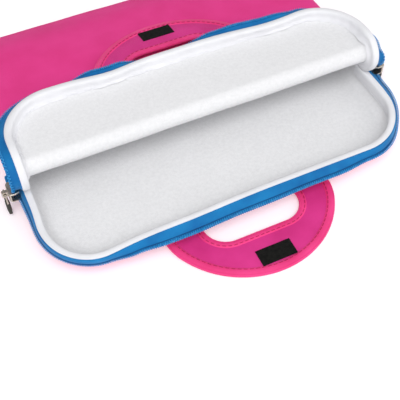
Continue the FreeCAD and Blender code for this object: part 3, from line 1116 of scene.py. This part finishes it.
def closed_seam():
    """The piped seam that joins the two panels round the closed sides, and its bound edge inside."""
    path = far_path(-0.5, -34.0, FAR_CORNER + 0.5, 60, 25, 120)
    z = seam_z(path[:, 1])
    points = np.stack([path[:, 0], path[:, 1], z], -1)
    piece = sweep("side_piping", tube_rings(points, 1.3, 10), "pink_neoprene")
    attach(piece, "base")
    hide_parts("side_seam")
    inner = far_path(WALL - 0.5, -39.0, FAR_CORNER - WALL + 0.5, 60, 25, 120)
    points = np.stack([inner[:, 0], inner[:, 1], seam_z(inner[:, 1])], -1)
    bound = sweep("lining_seam", tube_rings(points, 1.3, 10), "white_binding")
    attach(bound, "base")


# ================================ build it all ==============================

tray_skin = tray("tray_skin", 0.0, NEOPRENE, 0.9, "pink_neoprene")
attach(tray_skin, "base")
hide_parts("back_outer")
tray_lining = tray("tray_lining", NEOPRENE, WALL, 0.9, "white_plush")
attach(tray_lining, "base")
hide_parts("back_lining")
back_binding()
back_zip()

for panel in panel_layers("skin", 0.0, NEOPRENE, "pink_neoprene", "outer"):
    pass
panel_layers("inner", NEOPRENE, WALL, "white_plush", "lining")
flap_trim("flap_rim_binding", BINDING_PROFILE, binding_rings, "white_binding", "flap_binding")
flap_trim("flap_tape", TAPE_PROFILE, tape_rings, "blue_tape", "flap_zip_tape")
flap_coil()

rim_stitches()
closed_seam()
for side in (-1, 1):
    zip_end(side)
    pull_grip(side)

handle("back", on_back, "handle_back", "black_hook")
handle("front", on_front, "handle_front", "black_loop")

for name, node in frame["nodes"].items():
    if name.startswith(("slider_", "pull_link_")):
        node.data.materials.clear()
        node.data.materials.append(MATERIALS["nickel"])


# ============================== floor and light =============================

def floor():
    """A wide pale sweep of matt paper."""
    half = 3.0
    bm = bmesh.new()
    corners = [bm.verts.new((x * half, y * half, -0.0003)) for x, y in ((-1, -1), (1, -1), (1, 1), (-1, 1))]
    bm.faces.new(corners)
    mesh = bpy.data.meshes.new("studio_floor")
    bm.to_mesh(mesh)
    bm.free()
    obj = bpy.data.objects.new("studio_floor", mesh)
    bpy.context.scene.collection.objects.link(obj)
    material, nodes, links, shader = new_material("studio_paper")
    tone = noise(nodes, links, coordinates(nodes, links, (1, 1, 1)), 3.0)
    paper = two_tone(nodes, links, tone, (0.86, 0.86, 0.87), (0.88, 0.88, 0.89))
    links.new(paper, shader.inputs["Base Color"])
    shader.inputs["Roughness"].default_value = 0.9
    shader.inputs["Emission Color"].default_value = (1.0, 1.0, 1.0, 1)
    shader.inputs["Emission Strength"].default_value = 0.2
    mesh.materials.append(material)


def area_light(name, place_at, target, size, power):
    """A round soft light aimed at a target."""
    light = bpy.data.lights.new(name, "AREA")
    light.shape = "DISK"
    light.size = size
    light.energy = power
    obj = bpy.data.objects.new(name, light)
    obj.location = place_at
    obj.rotation_euler = (Vector(target) - Vector(place_at)).to_track_quat("-Z", "Y").to_euler()
    bpy.context.scene.collection.objects.link(obj)


def world(front, back):
    """Soft white surroundings, brighter in front of the sleeve than behind it."""
    scene_world = bpy.data.worlds.new("studio")
    scene_world.use_nodes = True
    nodes, links = scene_world.node_tree.nodes, scene_world.node_tree.links
    where = nodes.new("ShaderNodeTexCoord")
    split = nodes.new("ShaderNodeSeparateXYZ")
    links.new(where.outputs["Generated"], split.inputs["Vector"])
    fade = nodes.new("ShaderNodeMapRange")
    fade.inputs["From Min"].default_value = -1.0
    fade.inputs["From Max"].default_value = 1.0
    fade.inputs["To Min"].default_value = front
    fade.inputs["To Max"].default_value = back
    links.new(split.outputs["Y"], fade.inputs["Value"])
    background = nodes["Background"]
    background.inputs["Color"].default_value = (1.0, 1.0, 1.0, 1)
    links.new(fade.outputs["Result"], background.inputs["Strength"])
    bpy.context.scene.world = scene_world


def camera():
    """The camera, aimed at its target."""
    data = bpy.data.cameras.new("photo_camera")
    data.lens = CAMERA_LENS
    data.sensor_width = 36.0
    data.clip_start = 0.01
    data.clip_end = 20.0
    obj = bpy.data.objects.new("photo_camera", data)
    azimuth = math.radians(CAMERA_AZIMUTH)
    elevation = math.radians(CAMERA_ELEVATION)
    away = Vector((math.sin(azimuth) * math.cos(elevation), -math.cos(azimuth) * math.cos(elevation),
                   math.sin(elevation)))
    target = Vector(metres(CAMERA_TARGET))
    obj.location = target + away * CAMERA_DISTANCE / 1000.0
    obj.rotation_euler = (-away).to_track_quat("-Z", "Y").to_euler()
    bpy.context.scene.collection.objects.link(obj)
    bpy.context.scene.camera = obj


bpy.context.scene.view_settings.view_transform = "Standard"
floor()
area_light("key", (-0.35, -0.75, 1.2), (0, 0, 0), 1.0, 11.2)
area_light("fill", (0.9, -0.9, 0.9), (0, 0, 0), 1.2, 3.5)
world(0.88, 0.34)
camera()
